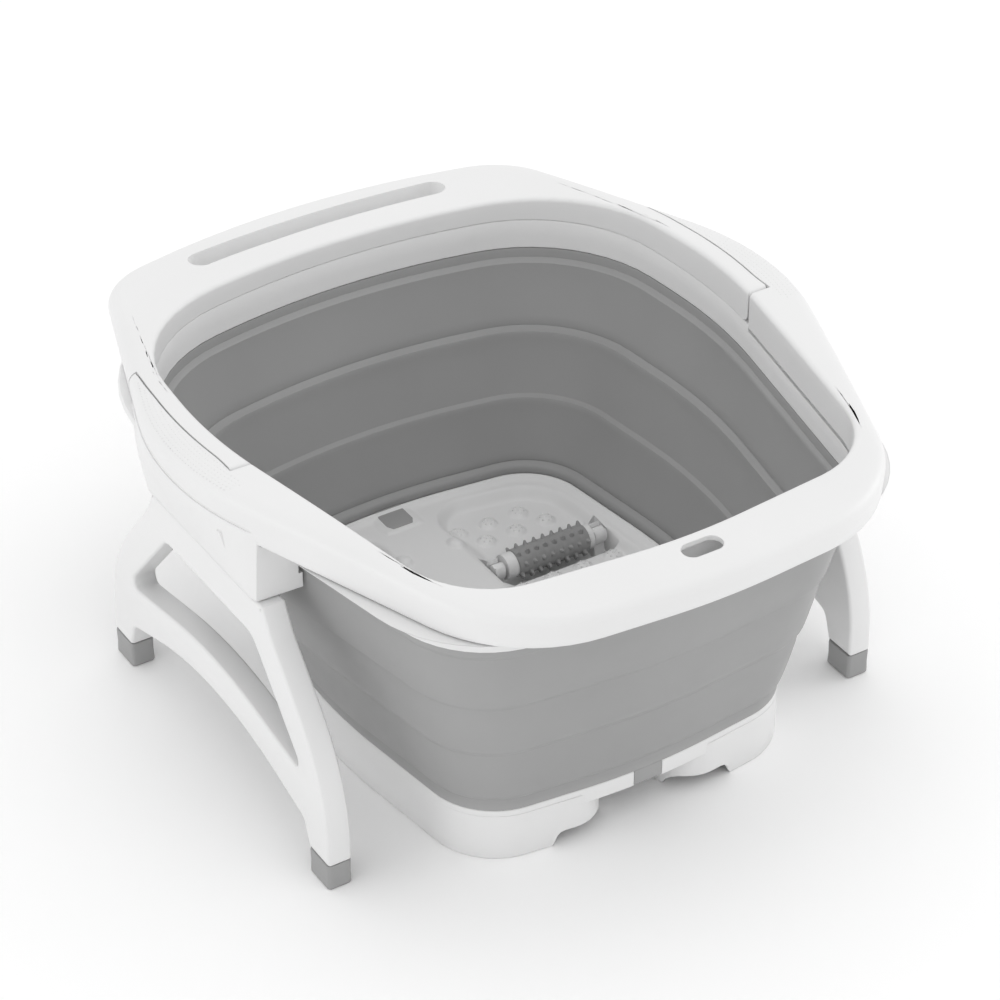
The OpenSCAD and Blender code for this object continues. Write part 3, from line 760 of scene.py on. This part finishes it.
def cradle(x0, x1):
    """A fork for one end of the axle: a C-shaped bearing on a foot."""
    points = round_points(ROLLER_Y, ROLLER_Z, FORK_R, range(58, -239, -12))
    points += round_points(ROLLER_Y, ROLLER_Z, FORK_HOLE_R, range(-238, 59, 12))
    arc = prism("cradle", points, x0, x1, "yzx")
    rounded(arc, 0.5, 40)
    section = [(ROLLER_Y - 5.5, 20.5), (ROLLER_Y + 5.5, 20.5), (ROLLER_Y + 4, 33), (ROLLER_Y - 4, 33)]
    foot = prism("foot", section, x0 + 0.6, x1 - 0.6, "yzx")
    return [arc, foot]


forks = []
for side in (-1, 1):
    for x0, x1 in ((25.5, 32.5), (103.3, 112.5)):
        forks += cradle(*sorted((side * x0, side * x1)))
dress(join("roller_forks", forks), WHITE_BASE, "base", "white_plastic")


# ---------------------------------------------------------------- wall tabs
def tab(end):
    """A grey tab of the wall that laps over the tray's edge in the middle of one end."""
    corner_x, corner_y = BASE[1][:2]
    tip_y, tip_r = BASE[0][1:]
    slope = (tip_y - corner_y) / corner_x
    face = -tip_y - tip_r * (math.sqrt(1 + slope ** 2) - 1) + 2
    plate = prism("plate", [(face - 3.4, 27.3), (face + 0.1, 27.3), (face + 0.1, 38.4), (face - 1.8, 38.6),
                            (face - 1.8, 43.2), (face - 3.4, 43.2)], -10.2, 10.2, "yzx")
    top = prism("top", [(-10, face - 1.9), (10, face - 1.9), (10, face - 19), (7.5, face - 23.5),
                        (-7.5, face - 23.5), (-10, face - 19)], 40.2, 41.9)
    for part in (plate, top):
        rounded(part, 0.5)
    piece = join("tab_rear" if end > 0 else "tab_front", [plate, top])
    if end < 0:
        piece.data.transform(Matrix.Translation((0, 2 * BOWL_Y * MM, 0)) @ Matrix.Scale(-1, 4, (0, 1, 0)))
        piece.data.flip_normals()
    return piece


dress(tab(1), GREY, "base", "grey_elastomer", "wall_anchor_rear")
dress(tab(-1), GREY, "base", "grey_elastomer", "wall_anchor_front")


# ---------------------------------------------------------------- rollers
def spike(x, angle):
    """One soft spike on the sleeve, at x and at an angle round the axle, narrower at each level."""
    a = math.radians(angle)
    out = Vector((0, math.cos(a), math.sin(a)))
    side = Vector((0, -math.sin(a), math.cos(a)))
    centre = at(x, ROLLER_Y, ROLLER_Z)
    rings = []
    for lift, half in ((-0.6, 2.2), (0.2, 1.75), (1.2, 1.3), (2.2, 1.0), (2.75, 0.75), (2.98, 0.35)):
        rings.append([centre + (out * (ROLLER_R + lift) + Vector((px, 0, 0)) + side * py) * MM
                      for px, py in round_points(0, 0, half, range(0, 360, 36))])
    return loft("spike", rings, closed=False)


def sleeve():
    """The roller's rubber sleeve: a tube with fine grooves, and a row of spikes between them."""
    x0, x1, r = ROLLER_X - ROLLER_HALF, ROLLER_X + ROLLER_HALF, ROLLER_R
    rows = around = 8
    pitch = 2 * ROLLER_HALF / rows
    profile = [(x0, SLEEVE_HOLE_R), (x0, r - 0.8), (x0 + 0.3, r - 0.25), (x0 + 0.9, r)]
    for i in range(1, rows):
        x = x0 + i * pitch
        profile += [(x - 1.0, r), (x, r - 0.35), (x + 1.0, r)]
    profile += [(x1 - 0.9, r), (x1 - 0.3, r - 0.25), (x1, r - 0.8), (x1, SLEEVE_HOLE_R)]
    turn = [7.5 * k for k in range(48)]
    parts = [loft("sleeve", [[at(x, y, z) for y, z in round_points(ROLLER_Y, ROLLER_Z, radius, turn)]
                             for x, radius in profile])]
    for i in range(rows):
        for k in range(around):
            parts.append(spike(x0 + (i + 0.3 + 0.4 * (k % 2)) * pitch, 360 / around * (k + 0.5)))
    return join("spiked_sleeve_right", parts)


right_sleeve = sleeve()
left_sleeve = mirror_copy(right_sleeve, "spiked_sleeve_left")
dress(right_sleeve, DARK, "roller_right", "dark_rubber", "roller_sleeve_right", angle=60)
dress(left_sleeve, DARK, "roller_left", "dark_rubber", "roller_sleeve_left", angle=60)


# ---------------------------------------------------------------- legs and foot caps
def plate_curve(name, loops, x0, x1, round_mm):
    """A flat plate in the Y-Z plane with rounded edges, cut out by its inner loops."""
    curve = bpy.data.curves.new(name, "CURVE")
    curve.dimensions, curve.fill_mode = "2D", "BOTH"
    curve.extrude = ((x1 - x0) / 2 - round_mm) * MM
    curve.bevel_depth = round_mm * MM
    curve.bevel_resolution = 3
    curve.offset = -round_mm * MM
    for points in loops:
        spline = curve.splines.new("POLY")
        spline.points.add(len(points) - 1)
        for p, q in zip(spline.points, points):
            p.co = (q[0] * MM, q[1] * MM, 0, 1)
        spline.use_cyclic_u = True
    obj = linked(name, curve)
    bpy.context.view_layer.update()
    graph = bpy.context.evaluated_depsgraph_get()
    mesh = bpy.data.meshes.new_from_object(obj.evaluated_get(graph))
    remove(obj)
    middle = at((x0 + x1) / 2, SIDE_Y, 0)
    mesh.transform(Matrix(((0, 0, 1, middle.x), (1, 0, 0, middle.y), (0, 1, 0, 0), (0, 0, 0, 1))))
    return linked(name, mesh)


def knuckle(x0, y0, y1):
    """A hinge knuckle on the leg's top, with the hole for its pin."""
    section = [(x0 + 1.6, 163.5), (HINGE_X + 6.1, 163.5)]
    section += round_points(HINGE_X, HINGE_Z, KNUCKLE_R, range(-20, 201, 14))
    block = prism("knuckle", section, y0, y1, "xzy")
    rounded(block, 0.6, 40)
    pin = round_points(HINGE_X, HINGE_Z, PIN_HOLE_R, range(0, 360, 12))
    boolean(block, prism("hole", pin, y0 - 2, y1 + 2, "xzy"))
    return block


def leg():
    """The right leg frame: a plate with a window, two knuckles, and a neck into each foot cap."""
    x0 = LEG_X1 - LEG_T
    loops = [outline(mirrored(LEG), 0, 10, 6), outline(mirrored(WINDOW), 0, 8, 6)]
    plate = plate_curve("leg", loops, x0, LEG_X1, 2.2)
    slope = [(x0 - 2, 162), (x0 + 6, 169), (x0 - 2, 169)]
    boolean(plate, prism("slope", slope, SIDE_Y - 90, SIDE_Y + 90, "xzy"))
    parts = [plate]
    for end in (-1, 1):
        parts.append(knuckle(x0, *sorted((SIDE_Y + end * KNUCKLE_IN, SIDE_Y + end * KNUCKLE_OUT))))
        foot = SIDE_Y + end * FOOT_Y
        parts.append(box("neck", x0 + 2.6, LEG_X1 - 2.6, foot - 8.9, foot + 8.8, 6, 22))
    return join("leg_right", parts)


def cap(end):
    """A foot cap: a cup with rounded edges, a lip at the top and a slightly narrower waist."""
    c, hx, hy, x = SIDE_Y + end * FOOT_Y, LEG_T / 2, FOOT_HALF, LEG_X1 - LEG_T / 2

    def ring(d, z, r=2.8):
        corners = [[x + hx, c - hy, r], [x + hx, c + hy, r], [x - hx, c + hy, r], [x - hx, c - hy, r]]
        return [at(p.x, p.y, z) for p in outline(corners, d, 5, 4)]

    levels = ((-1.5, 0), (-0.5, 0.25), (0, 1.1), (0, 3), (-0.25, 9), (0, 17.2), (-0.15, 18.2),
              (-0.7, FOOT_TOP))
    inside = [ring(-2.5, FOOT_TOP, 0.9), ring(-2.5, 6, 0.9)]
    return loft("cap", [ring(d, z) for d, z in levels] + inside, closed=False)


right_leg = leg()
left_leg = mirror_copy(right_leg, "leg_left")
caps = {}
for end, where in ((-1, "front"), (1, "rear")):
    piece = cap(end)
    piece.name = "foot_right_" + where
    caps["right", where] = piece
    caps["left", where] = mirror_copy(piece, "foot_left_" + where)
dress(right_leg, WHITE, "leg_right", "white_plastic", "leg_frame_right")
dress(left_leg, WHITE, "leg_left", "white_plastic", "leg_frame_left")
for (side, where), piece in caps.items():
    dress(piece, CAP_GREY, "leg_" + side, "grey_rubber", f"foot_cap_{side}_{where}", angle=50)

# ---------------------------------------------------------------- kept CAD pieces
for name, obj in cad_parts.items():
    if "pin" in name:
        look = STEEL
    elif name.startswith("roller_axle") or name.startswith("roller_collar"):
        look = WHITE
    else:
        continue
    obj.data.materials.clear()
    obj.data.materials.append(look)

# ---------------------------------------------------------------- studio
ground = mesh_object("ground", [(-6, -6, 0), (6, -6, 0), (6, 6, 0), (-6, 6, 0)], [(0, 1, 2, 3)])
paper = bpy.data.materials.new("paper")
paper.use_nodes = True
sheet = paper.node_tree.nodes["Principled BSDF"]
sheet.inputs["Base Color"].default_value = (0.97, 0.97, 0.97, 1)
sheet.inputs["Roughness"].default_value = 0.9
sheet.inputs["Specular IOR Level"].default_value = 0.1
ground.data.materials.append(paper)

world = bpy.data.worlds.new("studio")
bpy.context.scene.world = world
world.use_nodes = True
world.node_tree.nodes["Background"].inputs["Color"].default_value = (1, 1, 1, 1)
world.node_tree.nodes["Background"].inputs["Strength"].default_value = 1.0


def area(name, place, target, size, power):
    """A round soft light, with places in metres."""
    light = bpy.data.lights.new(name, "AREA")
    light.shape, light.size, light.energy = "DISK", size, power
    obj = linked(name, light)
    obj.location = place
    obj.rotation_euler = (Vector(target) - Vector(place)).to_track_quat("-Z", "Y").to_euler()


area("right_side", (2.3, -0.5, 1.0), (0, 0, 0.12), 1.5, 9)
area("left_side", (-2.2, 0.1, 1.0), (0, 0, 0.12), 1.5, 4)
area("top", (0.2, -0.2, 2.6), (0, 0, 0.1), 1.6, 2.5)
bpy.context.scene.view_settings.view_transform = "Standard"
